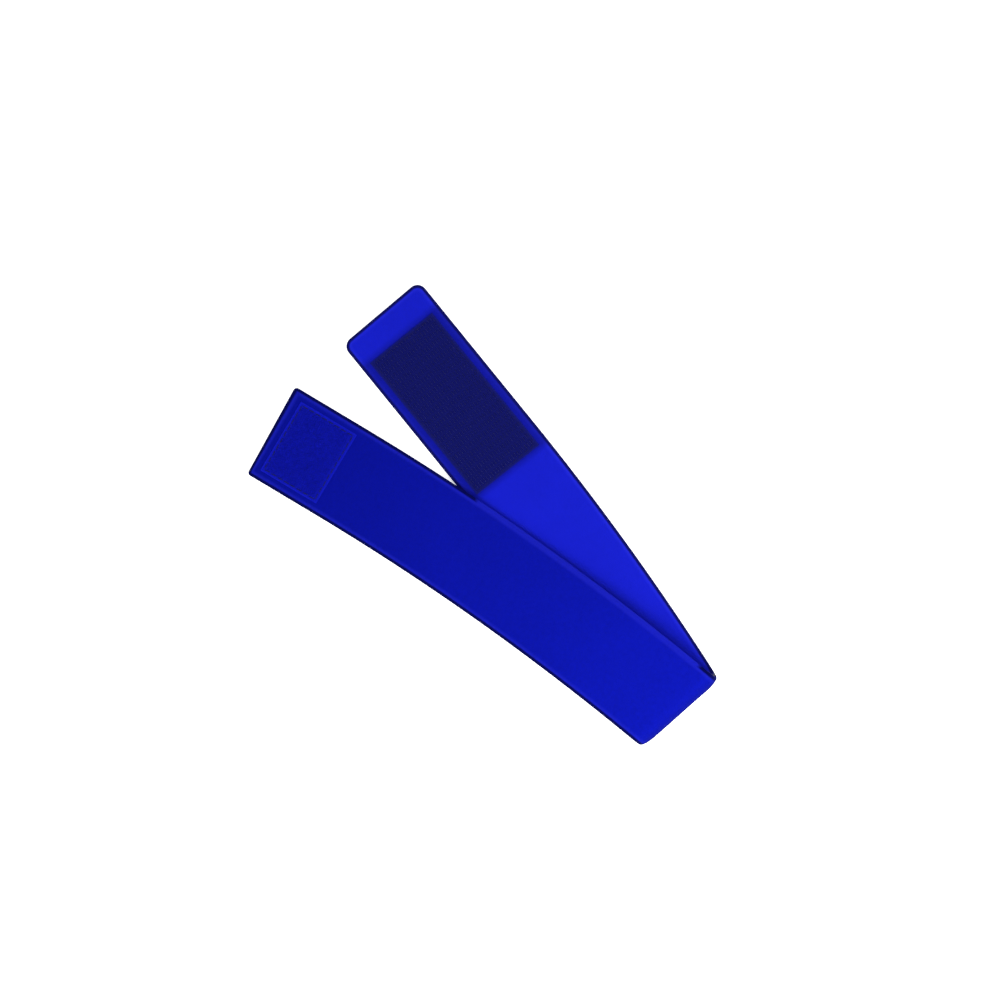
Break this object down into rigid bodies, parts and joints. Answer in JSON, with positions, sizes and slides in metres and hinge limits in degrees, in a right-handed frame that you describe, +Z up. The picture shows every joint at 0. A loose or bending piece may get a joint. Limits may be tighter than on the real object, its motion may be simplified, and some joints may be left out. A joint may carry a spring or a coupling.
{
  "type": "eyewear strap",
  "caption": "Flat foam-cored strap folded into a narrow V, with a hook tape sewn on one end and a short loop tape sewn on the other, for holding eyewear on the head.",
  "frame": {"origin": "on the table under the middle of the whole outline", "axes": "+X from the free ends to the fold, +Y towards the hook end's side, +Z up"},
  "size_m": [0.2034, 0.1028, 0.013],
  "materials": {
    "outer_cloth": "brushed knit",
    "inner_cloth": "smooth knit",
    "foam": "fine closed cells",
    "hook_tape": "woven",
    "hooks": "satin",
    "loop_tape": "woven",
    "loop_pile": "napped",
    "needle_thread": "twisted",
    "bobbin_thread": "twisted"
  },
  "bodies": {
    "lower_leg": {"lower_outer_cloth": "outer_cloth", "lower_foam_core": "foam", "lower_inner_cloth": "inner_cloth", "hook_tail_backing": "hook_tape", "hook_tail_field": "hooks", "hook_tail_needle_thread": "needle_thread", "hook_tail_bobbin_thread": "bobbin_thread"},
    "hook_tab": {"hook_tab_outer_cloth": "outer_cloth", "hook_tab_foam_core": "foam", "hook_tab_inner_cloth": "inner_cloth", "hook_tape_backing": "hook_tape", "hook_field": "hooks", "hook_tape_needle_thread": "needle_thread", "hook_tape_bobbin_thread": "bobbin_thread"},
    "fold_link": {"fold_outer_cloth": "outer_cloth", "fold_foam_core": "foam", "fold_inner_cloth": "inner_cloth"},
    "upper_leg": {"upper_outer_cloth": "outer_cloth", "upper_foam_core": "foam", "upper_inner_cloth": "inner_cloth"},
    "loop_tab": {"loop_tab_outer_cloth": "outer_cloth", "loop_tab_foam_core": "foam", "loop_tab_inner_cloth": "inner_cloth", "loop_tape_backing": "loop_tape", "loop_pile": "loop_pile", "loop_tape_needle_thread": "needle_thread", "loop_tape_bobbin_thread": "bobbin_thread"}
  },
  "joints": [
    {"name": "hook_tab_flex", "type": "hinge", "parent": "lower_leg", "child": "hook_tab", "pos_m": [-0.02633, 0.02293, 0.0035], "axis": [0.1253, 0.9921, 0], "range_deg": [0, 75]},
    {"name": "fold_lower", "type": "hinge", "parent": "lower_leg", "child": "fold_link", "pos_m": [0.09816, -0.00019, 0.0019], "axis": [0.0837, 0.9965, 0], "range_deg": [0, 80]},
    {"name": "fold_upper", "type": "hinge", "parent": "fold_link", "child": "upper_leg", "pos_m": [0.09806, -0.00142, 0.0111], "axis": [0.0837, 0.9965, 0], "range_deg": [0, 80]},
    {"name": "loop_tab_flex", "type": "hinge", "parent": "upper_leg", "child": "loop_tab", "pos_m": [-0.06671, -0.02543, 0.003], "axis": [-0.2215, 0.9751, 0], "range_deg": [0, 60]}
  ],
  "couplings": [
    {"joint": "fold_upper", "follows": "fold_lower", "ratio": 1}
  ]
}
